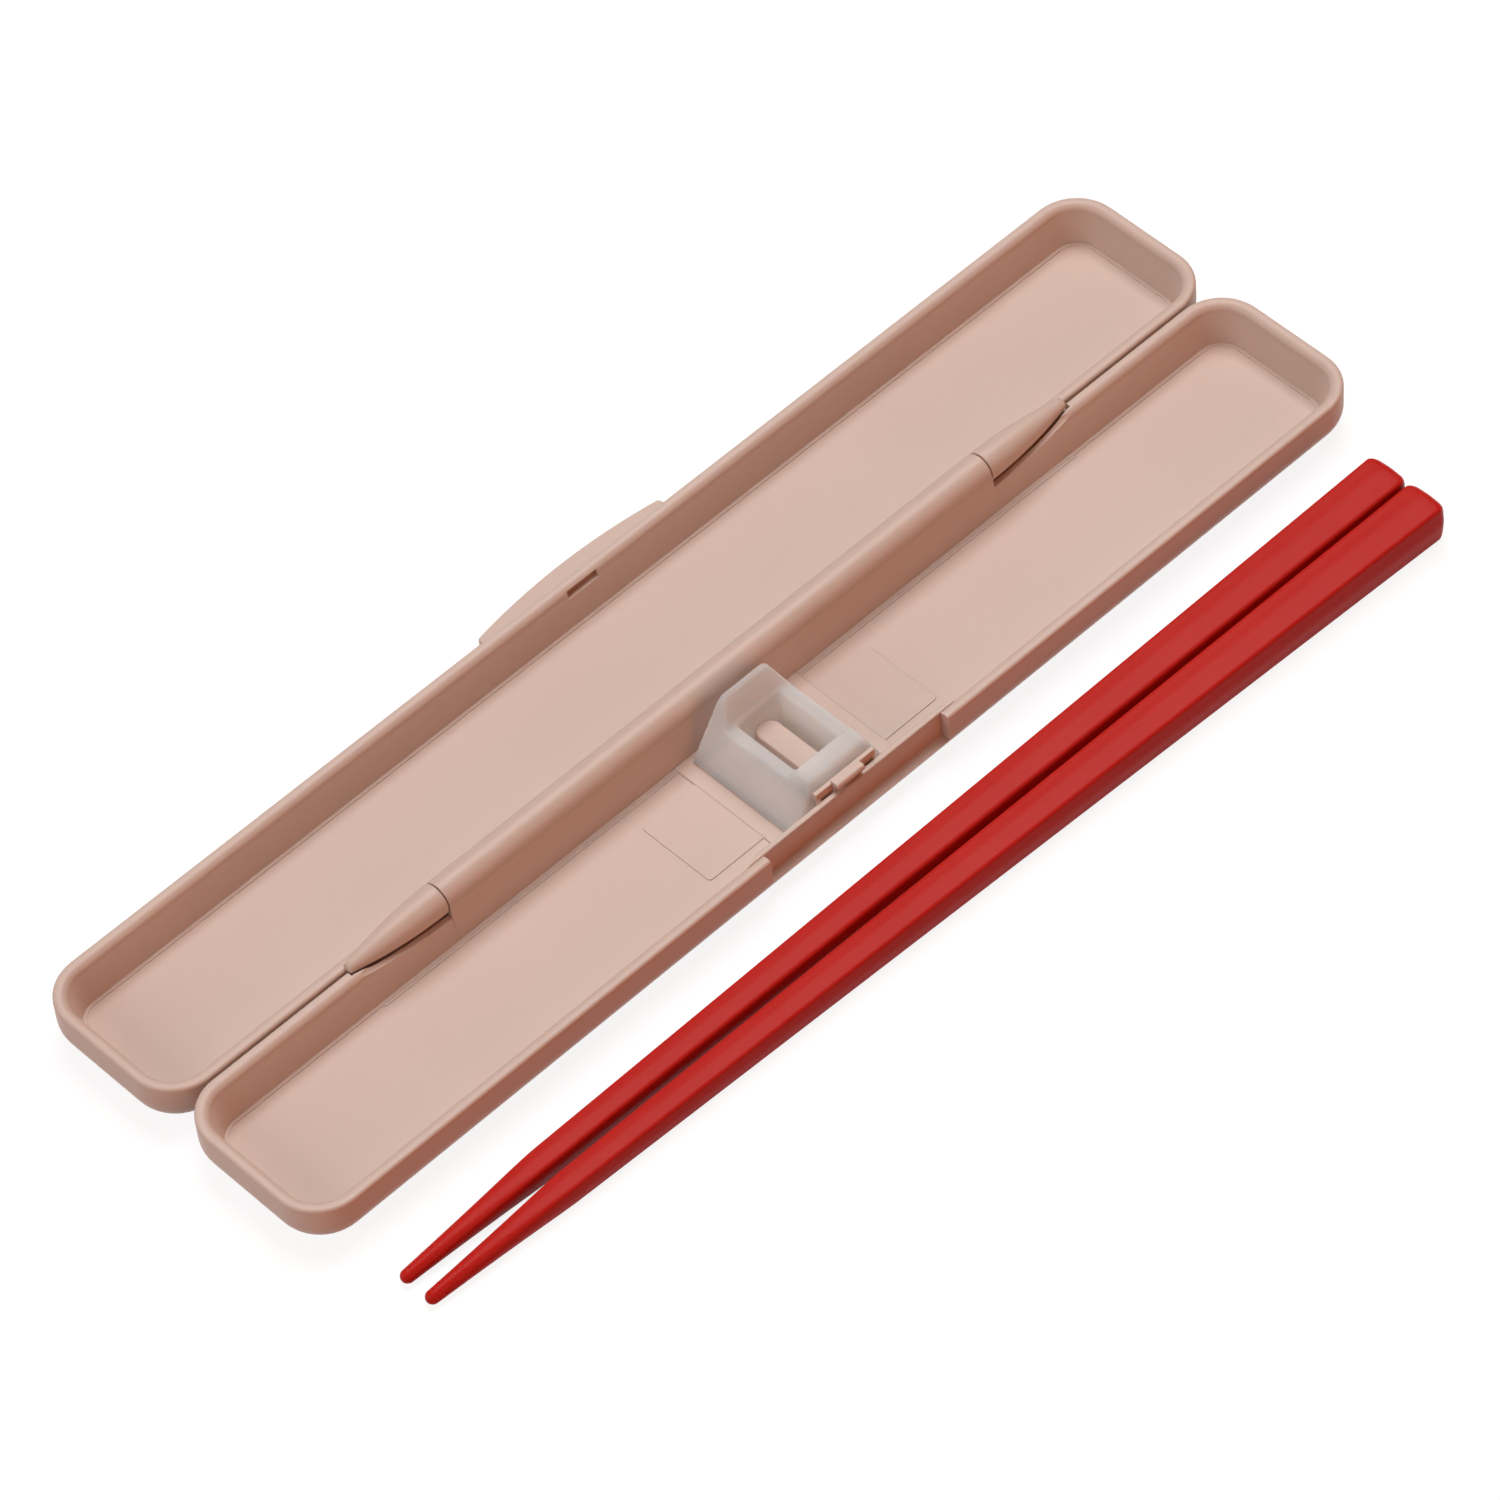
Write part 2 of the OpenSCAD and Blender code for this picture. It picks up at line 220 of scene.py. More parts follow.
def carry_round(name: str, profile: Array, half_x: float, half_y: float, centre_y: float,
                steps: int = 12) -> Object:
    """Carries an upright profile round a rounded rectangle.

    The way round passes four corner centres and turns through a right angle at each. A point is the
    centre plus the outward direction times the profile's reach, at the profile's height.

    Args:
        name: Name of the object.
        profile: Reach and height of each point, from the middle of one cap to the other.
        half_x: Half the distance between corner centres along X.
        half_y: Half the distance between corner centres along Y.
        centre_y: Middle of the rectangle along Y.
        steps: Steps in each corner.

    Returns:
        The new object.
    """
    turn = np.linspace(0, 90, steps + 1)
    angle = np.radians((np.arange(4)[:, None] * 90 + turn).ravel())
    outward = np.stack([np.cos(angle), np.sin(angle)], 1)
    centres = np.array([[1, 1], [-1, 1], [-1, -1], [1, -1]]) * [half_x, half_y]
    flat = np.repeat(centres, steps + 1, 0) + outward * profile[:, None, :1]
    height = np.broadcast_to(profile[:, None, 1:], (*flat.shape[:2], 1))
    return mesh_object(name, np.concatenate([flat + [0, centre_y], height], 2))


def stretch(name: str, outline: Array, axis: str, low: float, high: float) -> Object:
    """Carries a flat outline along a straight line: every point is repeated at both ends of it.

    Args:
        name: Name of the object.
        outline: Points in the plane across the axis: Y, Z for X, then X, Z for Y, and X, Y for Z.
        axis: X, Y or Z.
        low: Where the line starts.
        high: Where the line ends.

    Returns:
        The new object.
    """
    place = "XYZ".index(axis)
    ring = np.insert(outline, place, 0.0, axis=1)
    return mesh_object(name, ring[None] + np.eye(3)[place] * np.array([low, high])[:, None, None])


def turned(name: str, profile: Array, centre: Pair, steps: int = 64) -> Object:
    """Turns a profile about a line along X: Y and Z are the radius times the cosine and sine of the turn.

    Args:
        name: Name of the object.
        profile: Place along X and radius of each point.
        centre: Y and Z of the line.
        steps: Steps in the turn.

    Returns:
        The new object.
    """
    angle = np.linspace(0, 2 * math.pi, steps, endpoint=False)
    along = np.broadcast_to(profile[:, :1], (len(profile), steps))
    y = centre[0] + profile[:, 1:] * np.cos(angle)
    z = centre[1] + profile[:, 1:] * np.sin(angle)
    return mesh_object(name, np.stack([along, y, z], 2))


def block(name: str, low: Vector3, high: Vector3) -> Object:
    """A box between two corners, as an outline carried along X."""
    outline = np.array([[low[1], low[2]], [high[1], low[2]], [high[1], high[2]], [low[1], high[2]]])
    return stretch(name, outline, "X", low[0], high[0])


# Cutting and rounding


class Merge(Enum):
    """How a tool changes the piece that it is used on."""

    CUT = "DIFFERENCE"
    KEEP_COMMON = "INTERSECT"


def settle(piece: Object) -> None:
    """Writes the result of a piece's modifiers into its mesh and removes them.

    Args:
        piece: The piece to change.
    """
    depsgraph = bpy.context.evaluated_depsgraph_get()
    old = piece.data
    piece.data = bpy.data.meshes.new_from_object(piece.evaluated_get(depsgraph))
    piece.modifiers.clear()
    bpy.data.meshes.remove(old)
    piece.data.name = piece.name


def shape(piece: Object, merge: Merge, *tools: Object) -> Object:
    """Cuts or trims a piece with tools, which are used up.

    Args:
        piece: The piece to change.
        merge: What the tools do to it.
        tools: The tools, used in order.

    Returns:
        The same piece.
    """
    for tool in tools:
        change = piece.modifiers.new(merge.name, "BOOLEAN")
        change.operation, change.solver, change.object = merge.value, "EXACT", tool
        settle(piece)
        mesh = tool.data
        bpy.data.objects.remove(tool)
        bpy.data.meshes.remove(mesh)
    return piece


def shade_smooth(piece: Object) -> None:
    """Shades every face of a piece as part of one smooth surface."""
    piece.data.polygons.foreach_set("use_smooth", np.ones(len(piece.data.polygons), bool))


def soften(piece: Object, width: float = 0.0, segments: int = 3, angle: float = 32.0) -> Object:
    """Rounds the sharp edges of a piece and evens out its shading.

    Args:
        piece: The piece to round.
        width: Width of the rounding in millimetres. At zero only the shading is evened out.
        segments: Steps in the rounding.
        angle: Edges that bend by more than this many degrees are rounded.

    Returns:
        The same piece.
    """
    work = bmesh.new()
    work.from_mesh(piece.data)
    bmesh.ops.remove_doubles(work, verts=work.verts, dist=NEAR_VERTEX)
    bmesh.ops.dissolve_degenerate(work, edges=work.edges, dist=NEAR_VERTEX)
    work.to_mesh(piece.data)
    work.free()
    if width > 0:
        bevel = piece.modifiers.new("edge_rounding", "BEVEL")
        bevel.width, bevel.segments = width * MM, segments
        bevel.limit_method, bevel.angle_limit = "ANGLE", math.radians(angle)
        bevel.use_clamp_overlap = True
        settle(piece)
    shade_smooth(piece)
    piece.data.set_sharp_from_angle(angle=math.radians(SHARP_BEND))
    even = piece.modifiers.new("even_shading", "WEIGHTED_NORMAL")
    even.keep_sharp = True
    settle(piece)
    return piece


# Finishes


class NodeBoard:
    """A material's nodes, with short ways to add and link them."""

    RAMP_ENDS = (0.3, 0.7)

    def __init__(self, name: str) -> None:
        """Starts a material that holds only its shader and its output.

        Args:
            name: Name of the material.
        """
        self.material = bpy.data.materials.new(name)
        self.material.use_nodes = True
        self.tree = self.material.node_tree
        self.shader = self.tree.nodes["Principled BSDF"]

    @staticmethod
    def fill(node: bpy.types.Node, sockets: dict[str, object]) -> None:
        """Sets a node's sockets by name, with _ for a space."""
        for name, value in sockets.items():
            node.inputs[name.replace("_", " ")].default_value = value

    def add(self, kind: str, **sockets: object) -> bpy.types.Node:
        """Adds a node and sets its sockets by name.

        Args:
            kind: Blender's name for the node.
            sockets: Values by socket name, with _ for a space.

        Returns:
            The new node.
        """
        node = self.tree.nodes.new(kind)
        self.fill(node, sockets)
        return node

    def set(self, **sockets: object) -> None:
        """Sets the shader's own sockets by name, with _ for a space."""
        self.fill(self.shader, sockets)

    def link(self, source: Socket, target: Socket) -> None:
        """Links an output to an input."""
        self.tree.links.new(source, target)

    def noise(self, scale: float, detail: float) -> Socket:
        """Noise on the piece's own coordinates.

        Args:
            scale: Waves for each metre.
            detail: Finer layers in the noise.

        Returns:
            The output that holds the noise as a number.
        """
        place = self.add("ShaderNodeTexCoord")
        cloud = self.add("ShaderNodeTexNoise", Scale=scale, Detail=detail)
        self.link(place.outputs["Object"], cloud.inputs["Vector"])
        return cloud.outputs["Fac"]

    def ramp(self, value: Socket, low: float | Colour, high: float | Colour) -> Socket:
        """Spreads a noise between two colours or two greys.

        Args:
            value: The noise.
            low: Colour or grey at the lower end of the ramp.
            high: Colour or grey at the upper end of the ramp.

        Returns:
            The output that holds the colour.
        """
        node = self.add("ShaderNodeValToRGB")
        for stop, place, shade in zip(node.color_ramp.elements, self.RAMP_ENDS, (low, high)):
            stop.position = place
            stop.color = (shade, shade, shade, 1.0) if isinstance(shade, float) else shade
        self.link(value, node.inputs["Fac"])
        return node.outputs["Color"]

    def bump(self, height: Socket, strength: float, distance: float) -> None:
        """Lets a number raise the surface.

        Args:
            height: The number.
            strength: Strength of the effect from 0 to 1.
            distance: Height in metres at a number of one.
        """
        node = self.add("ShaderNodeBump", Strength=strength, Distance=distance)
        self.link(height, node.inputs["Height"])
        self.link(node.outputs["Normal"], self.shader.inputs["Normal"])


@dataclass(frozen=True)
class GrainedFinish:
    """A finish with faint clouds in its colour, and a fine grain in its gloss and its surface."""

    name: str
    light: Colour
    deep: Colour
    cloud_scale: float
    grain_scale: float
    roughness: Pair
    specular: float
    scatter: float
    scatter_radius: Vector3
    scatter_scale: float
    cloud_detail: float = 2.0
    grain_detail: float = 2.0
    bump_strength: float = 0.08
    bump_depth: float = 0.00002
    ior: float = 1.5
    alpha: float = 1.0

    def build(self) -> bpy.types.Material:
        """Makes the material.

        Returns:
            The material.
        """
        board = NodeBoard(self.name)
        clouds = board.ramp(board.noise(self.cloud_scale, self.cloud_detail), self.deep, self.light)
        board.link(clouds, board.shader.inputs["Base Color"])
        grain = board.noise(self.grain_scale, self.grain_detail)
        board.link(board.ramp(grain, *self.roughness), board.shader.inputs["Roughness"])
        board.bump(grain, self.bump_strength, self.bump_depth)
        board.set(Specular_IOR_Level=self.specular, IOR=self.ior, Alpha=self.alpha,
                  Subsurface_Weight=self.scatter, Subsurface_Radius=self.scatter_radius,
                  Subsurface_Scale=self.scatter_scale)
        return board.material


@dataclass(frozen=True)
class CasePlastic(GrainedFinish):
    """Satin dusty pink moulded plastic with a very fine grain."""

    name: str = "case_satin_pink"
    light: Colour = srgb(217, 192, 179)
    deep: Colour = srgb(214, 188, 175)
    cloud_scale: float = 26.0
    grain_scale: float = 2600.0
    grain_detail: float = 3.0
    roughness: Pair = (0.36, 0.42)
    specular: float = 0.3
    scatter: float = 0.25
    scatter_radius: Vector3 = (1.0, 0.6, 0.45)
    scatter_scale: float = 0.0016


@dataclass(frozen=True)
class SoftElastomer(GrainedFinish):
    """Milky see-through elastomer that lets some of the colour behind it through."""

    name: str = "cradle_milky_elastomer"
    light: Colour = srgb(248, 247, 246)
    deep: Colour = srgb(245, 243, 241)
    cloud_scale: float = 180.0
    grain_scale: float = 2200.0
    roughness: Pair = (0.50, 0.60)
    specular: float = 0.2
    scatter: float = 1.0
    scatter_radius: Vector3 = (1.0, 0.85, 0.75)
    scatter_scale: float = 0.006
    ior: float = 1.41
    alpha: float = 0.57


@dataclass(frozen=True)
class RedResin(GrainedFinish):
    """Smooth red resin with a soft gloss."""

    name: str = "stick_red_resin"
    light: Colour = srgb(199, 43, 36)
    deep: Colour = srgb(195, 38, 32)
    cloud_scale: float = 60.0
    grain_scale: float = 1500.0
    roughness: Pair = (0.27, 0.33)
    bump_strength: float = 0.04
    specular: float = 0.06
    scatter: float = 0.4
    scatter_radius: Vector3 = (1.0, 0.12, 0.1)
    scatter_scale: float = 0.0025


class Finishes:
    """The three finishes of the object, each made once."""

    def __init__(self) -> None:
        """Makes the materials."""
        self.made = {Slot.CASE: CasePlastic().build(), Slot.CRADLE: SoftElastomer().build(),
                     Slot.STICK: RedResin().build()}

    def dress(self, piece: Object, slot: Slot, body: Body, node: str) -> None:
        """Gives a piece its finish and its body, and hides the node that it stands for.

        Args:
            piece: The finished piece.
            slot: Which of the finishes it takes.
            body: The body that it rides on.
            node: The node that it replaces.
        """
        piece.data.materials.clear()
        piece.data.materials.append(self.made[slot])
        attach(piece, body.value)
        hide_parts(node)
        LOG.info("%s: %d faces on %s", piece.name, len(piece.data.polygons), body.value)


# The case and the chopsticks


@dataclass
class TrayShell:
    """One shallow tray: rounded outer bottom edge, soft rim and an inner wall that leans in to its foot."""

    case_len: float = 195.0
    tray_w: float = 27.6
    tray_h: float = 7.7
    corner_r: float = 7.0
    bottom_r: float = 4.0
    wall_t: float = 2.0
    floor_t: float = 1.6
    draft: float = 1.3
    rim_in_r: float = 1.15
    rim_out_r: float = 0.5
    bead_w: float = 0.5
    bead_h: float = 0.16
    bead_slope: float = 0.04
    bead_margin: float = 0.2
    foot_margin: float = 0.05
    sunk: float = 0.1
    cap_r: float = 0.4
    wall_points: int = 5
    arc_steps: tuple[int, int, int] = (10, 6, 12)

    @property
    def root(self) -> float:
        """The height inside the floor at which a piece that stands on the floor starts."""
        return self.floor_t / 2

    @property
    def wall_root(self) -> float:
        """The height at which an inner wall starts, above the rounded bottom edge."""
        return self.floor_t - self.sunk

    def profile(self) -> Array:
        """The half section, from the middle of the floor over the rim to the middle of the underside.

        The inner wall leans in evenly, by the draft from the rim to the floor. A low bead with a steep
        front runs along its foot.

        Returns:
            Reach from the corner centre and height of each point.
        """
        rim, depth = self.corner_r - self.wall_t, self.tray_h - self.floor_t
        down = np.linspace(depth - self.bead_h, self.rim_in_r, self.wall_points)
        wall = np.stack([rim - self.draft * down / depth, self.tray_h - down], 1)
        foot, step = wall[0, 0], self.floor_t + self.bead_h
        bead = foot - self.bead_w
        floor = np.array([[self.cap_r, self.floor_t], [bead - self.bead_margin, self.floor_t],
                          [bead - self.bead_slope, self.floor_t], [bead, step],
                          [foot - self.foot_margin, step]])
        in_r, out_r, low_r = self.rim_in_r, self.rim_out_r, self.bottom_r
        in_steps, out_steps, low_steps = self.arc_steps
        inner = arc((rim + in_r, self.tray_h - in_r), in_r, 180, 90, in_steps)
        outer = arc((self.corner_r - out_r, self.tray_h - out_r), out_r, 90, 0, out_steps)
        edge = arc((self.corner_r - low_r, low_r), low_r, 0, -90, low_steps)
        return np.concatenate([floor, wall[:-1], inner, outer, edge, [[self.cap_r, 0.0]]])

    def build(self, name: str, centre_y: float) -> Object:
        """Makes the tray.

        Args:
            name: Name of the piece.
            centre_y: Middle of the tray along Y.

        Returns:
            The piece, with no cuts in it yet.
        """
        return carry_round(name, self.profile(), self.case_len / 2 - self.corner_r,
                           self.tray_w / 2 - self.corner_r, centre_y)


@dataclass
class HingeLine:
    """The hinge line and the bodies that turn about it."""

    axis: Pair = (14.0, 7.8)
    barrel_r: float = 2.4
    barrel_len: float = 101.0
    edge: float = 0.18
    edge_steps: int = 4
    bore_edge: float = 0.1
    knuckle_len: float = 15.8
    knuckle_points: int = 22
    knuckle_tip_r: float = 0.8
    knuckle_gap: float = 0.2
    nose_x: Pair = (0.05, 0.25)
    nose_turn: float = 52.0
    nose_core: float = 0.02
    nose_points: int = 6
    pin_r: float = 1.2
    pin_len: float = 3.0
    pin_edge: float = 0.15
    pin_clear: float = 0.05
    pin_end_clear: float = 0.3
    clear: float = 0.3
    wall_clear: float = 0.4
    scoop_drop: float = 0.2
    trough_steps: int = 96

    @property
    def start(self) -> float:
        """How far from the middle the knuckles start, just past the barrel's ends."""
        return self.barrel_len / 2 + self.knuckle_gap

    def bullet(self, grow: float) -> Array:
        """The knuckle's outline: the radius falls along an arc from the barrel's to the tip's.

        Args:
            grow: Clearance added all round.

        Returns:
            Distance from the middle and radius of each point.
        """
        drop = self.barrel_r - self.knuckle_tip_r
        radius = (self.knuckle_len ** 2 + drop ** 2) / (2 * drop)
        along = np.linspace(0, self.knuckle_len, self.knuckle_points)
        across = self.barrel_r - radius + np.sqrt(radius ** 2 - along ** 2) + grow
        return np.stack([along, across], 1) + [self.start, 0]

    def barrel(self, name: str) -> Object:
        """The base's long barrel: a turned profile with rounded ends and a bore in each for a stub pin.

        Args:
            name: Name of the piece.

        Returns:
            The barrel.
        """
        half, bore_r = self.barrel_len / 2, self.pin_r + self.pin_clear
        depth = half - self.pin_len - self.pin_end_clear
        rounding = arc((half - self.edge, self.barrel_r - self.edge), self.edge, 90, 0, self.edge_steps)
        bore = [[half, bore_r + self.bore_edge], [half - self.bore_edge, bore_r], [depth, bore_r],
                [depth, CORE_R]]
        end = np.concatenate([rounding, bore])
        return turned(name, np.concatenate([end[::-1] * [-1, 1], end]), self.axis)

    def knuckle(self, name: str, side: Side) -> Object:
        """One of the lid's bullet-shaped knuckles, with its stub pin.

        Past the tip, a nose closes it: its radius follows the sine of a turn that goes down to zero.

        Args:
            name: Name of the piece.
            side: The end of the hinge that it lies at.

        Returns:
            The knuckle.
        """
        start, shell = self.start, self.bullet(0.0)[1:]
        rounding = arc((start + self.edge, self.barrel_r - self.edge), self.edge, 180, 90, self.edge_steps)
        pin_end = start - self.knuckle_gap - self.pin_len
        pin = [[pin_end, CORE_R], [pin_end, self.pin_r - self.pin_edge],
               [pin_end + self.pin_edge, self.pin_r], [start, self.pin_r]]
        turn = np.radians(np.linspace(self.nose_turn, 0, self.nose_points + 1))[1:]
        nose_x = shell[-1, 0] + np.linspace(*self.nose_x, self.nose_points)
        nose = np.stack([nose_x, np.sin(turn) + self.nose_core], 1)
        outline = np.concatenate([pin, rounding, shell, nose])
        return turned(name, outline * [side.value, 1.0], self.axis)

    def hollow(self, side: Side, grow: float, forward: float) -> Object:
        """A hollow in the form of a knuckle.

        Args:
            side: The end of the hinge that it lies at.
            grow: How much wider than the knuckle it is all round.
            forward: How far in front of the hinge line it lies.

        Returns:
            The tool that cuts it.
        """
        shell = self.bullet(grow)
        near, far = self.start - 2 * self.knuckle_gap, shell[-1, 0] + self.wall_clear
        outline = np.concatenate([[[near, CORE_R], [near, self.barrel_r + grow]], shell,
                                  [[far, shell[-1, 1]], [far, CORE_R]]])
        centre = (self.axis[0] - forward, self.axis[1])
        return turned("knuckle_hollow", outline * [side.value, 1.0], centre)

    def rooms(self) -> list[Object]:
        """The rooms in the base's wall for the knuckles, each with a ledge scooped out in front of it."""
        cuts = ((self.wall_clear, 0.0), (-self.scoop_drop, self.barrel_r))
        return [self.hollow(side, grow, forward) for side in Side for grow, forward in cuts]

    def trough(self) -> Object:
        """The round hollow that the lid's wall leaves for the barrel.

        Returns:
            The tool that cuts it.
        """
        half, radius = self.start, self.barrel_r + self.clear
        profile = np.array([[-half, CORE_R], [-half, radius], [half, radius], [half, CORE_R]])
        return turned("barrel_trough", profile, self.axis, self.trough_steps)


@dataclass(frozen=True)
class FloorBar:
    """A straight bar that stands on a tray's floor, even to both sides of the middle."""

    name: str
    half: float
    y: Pair
    top: float
    edge: float
    edge_steps: int = 3

    def build(self, root: float) -> Object:
        """Makes the bar, starting at a height inside the floor."""
        piece = block(self.name, (-self.half, self.y[0], root), (self.half, self.y[1], self.top))
        return soften(piece, self.edge, self.edge_steps)


@dataclass
class BaseTray:
    """The front tray with its hinge barrel, finger recess, catch nib, floor pads and rib."""

    shell: TrayShell = field(default_factory=TrayShell)
    hinge: HingeLine = field(default_factory=HingeLine)
    foot_strip: FloorBar = FloorBar("base_foot_strip", 64.6, (9.65, 11.2), 1.72, 0.05, 2)
    pocket_back: FloorBar = FloorBar("base_pocket_back", 5.5, (-11.1, -10.4), 9.0, 0.15)
    band: FloorBar = FloorBar("base_floor_band", 11.4, (-11.4, 11.4), 1.85, 0.22)
    barrel_wall_t: float = 0.9
    recess_len: float = 33.0
    recess_y: float = -12.3
    recess_ledge: float = 2.9
    recess_r: float = 0.5
    recess_wall_in: float = -11.4
    recess_wall_out: float = 0.03
    recess_fade: Pair = (3.0, 0.4)
    nib_w: float = 5.0
    nib_z: Pair = (8.5, 9.3)
    nib_y: Vector3 = (-12.3, -11.5, -10.7)
    beak: Pair = (0.25, 0.3)
    pocket_x: Pair = (4.8, 5.5)
    pocket_y: Pair = (-11.45, -10.4)
    pocket_dip: float = 0.2
    pocket_r: float = 0.4
    pad_len: float = 9.9
    pad_w: float = 13.2
    pad_z: float = 1.75
    pad_r: float = 0.6
    pad_lap: float = 1.0
    rib_w: float = 3.7
    rib_y: Pair = (-11.6, 5.4)
    rib_z: float = 5.5

    def dress(self, finishes: Finishes) -> None:
        """Builds the base's pieces and dresses them."""
        for piece in self.build():
            finishes.dress(piece, Slot.CASE, Body.BASE, "base_tray")

    def build(self) -> list[Object]:
        """Makes every piece that is moulded on the base.

        Returns:
            The pieces.
        """
        root = self.shell.root
        return [self.tray(), self.barrel_wall(), soften(self.hinge.barrel("base_hinge_barrel")),
                self.foot_strip.build(root), self.recess_wall(), self.catch_nib(),
                self.pocket_back.build(root), *[self.pocket_wall(side) for side in Side],
                self.band.build(root), *[self.pad(side) for side in Side], self.rib()]

    def tray(self) -> Object:
        """The shell, with the finger recess and the knuckles' rooms cut into it.

        Returns:
            The piece.
        """
        front, top = -self.shell.tray_w / 2 - OVERRUN, self.shell.tray_h + OVERRUN
        outline = fillet([(front, self.recess_ledge), (self.recess_y, self.recess_ledge),
                          (self.recess_y, top), (front, top)], [0, self.recess_r, 0, 0])
        recess = stretch("recess", outline, "X", -self.recess_len / 2, self.recess_len / 2)
        piece = self.shell.build("base_shell", 0.0)
        shape(piece, Merge.CUT, recess, *self.hinge.rooms())
        return soften(piece, width=0.22, angle=40)

    def barrel_wall(self) -> Object:
        """The wall under the barrel, leaning in from the barrel's front to the foot of the tray's own wall.

        Returns:
            The piece.
        """
        top, floor = self.hinge.axis[1], self.shell.floor_t
        front = self.hinge.axis[0] - self.hinge.barrel_r
        foot = self.shell.tray_w / 2 - self.shell.wall_t - self.shell.draft
        back, half = front + self.barrel_wall_t, self.hinge.barrel_len / 2
        outline = np.array([[front, top], [foot, floor], [back, floor], [back, top]])
        return soften(stretch("base_barrel_wall", outline, "X", -half, half))

    def recess_wall(self) -> Object:
        """The wall behind the finger recess, further in than the rim and fading out past its ends.

        Returns:
            The piece.
        """
        outer, inner = self.recess_y + self.recess_wall_out, self.recess_wall_in
        wide, narrow = [self.recess_len / 2 + fade for fade in self.recess_fade]
        outline = np.array([[-wide, outer], [wide, outer], [narrow, inner], [-narrow, inner]])
        piece = stretch("base_recess_wall", outline, "Z", self.shell.wall_root, self.shell.tray_h - SLIVER)
        return soften(piece, width=0.2)

    def catch_nib(self) -> Object:
        """The nib on its post: an upright bar with a short beak that slopes down at its front.

        Returns:
            The piece.
        """
        tip, post, back = self.nib_y
        low, high = self.nib_z
        run, drop = self.beak
        outline = np.array([[post, self.shell.root], [back, self.shell.root], [back, high],
                            [tip + run, high], [tip, high - drop], [tip, low], [post, low]])
        return soften(stretch("base_catch_nib", outline, "X", -self.nib_w / 2, self.nib_w / 2), width=0.12)

    def pocket_wall(self, side: Side) -> Object:
        """One thin wall beside the nib, sloping down towards the front.

        Args:
            side: The side of the nib that it stands on.

        Returns:
            The piece.
        """
        front, back = self.pocket_y
        outline = fillet([(front, self.shell.root), (back, self.shell.root), (back, self.pocket_back.top),
                          (front, self.shell.tray_h - self.pocket_dip)], [0, 0, self.pocket_r, 0])
        ends = sorted(side.value * value for value in self.pocket_x)
        return soften(stretch(f"base_pocket_wall_{side.name.lower()}", outline, "X", *ends), width=0.1)

    def pad(self, side: Side) -> Object:
        """A low pad on the floor beside the band, with small round corners.

        Args:
            side: The side of the band that it lies on.

        Returns:
            The piece.
        """
        inner, outer = self.band.half - self.pad_lap, self.band.half + self.pad_len
        half = self.pad_w / 2
        outline = fillet([(inner, -half), (outer, -half), (outer, half), (inner, half)],
                         [0, self.pad_r, self.pad_r, 0])
        piece = stretch(f"base_floor_pad_{side.name.lower()}", outline * [side.value, 1], "Z",
                        self.shell.root, self.pad_z)
        return soften(piece, width=0.08, segments=2)

    def rib(self) -> Object:
        """The rib that holds the cradle, round at its back end."""
        outline = tongue(self.rib_w / 2, *self.rib_y)
        return soften(stretch("base_cradle_rib", outline, "Z", self.shell.root, self.rib_z), width=0.25)


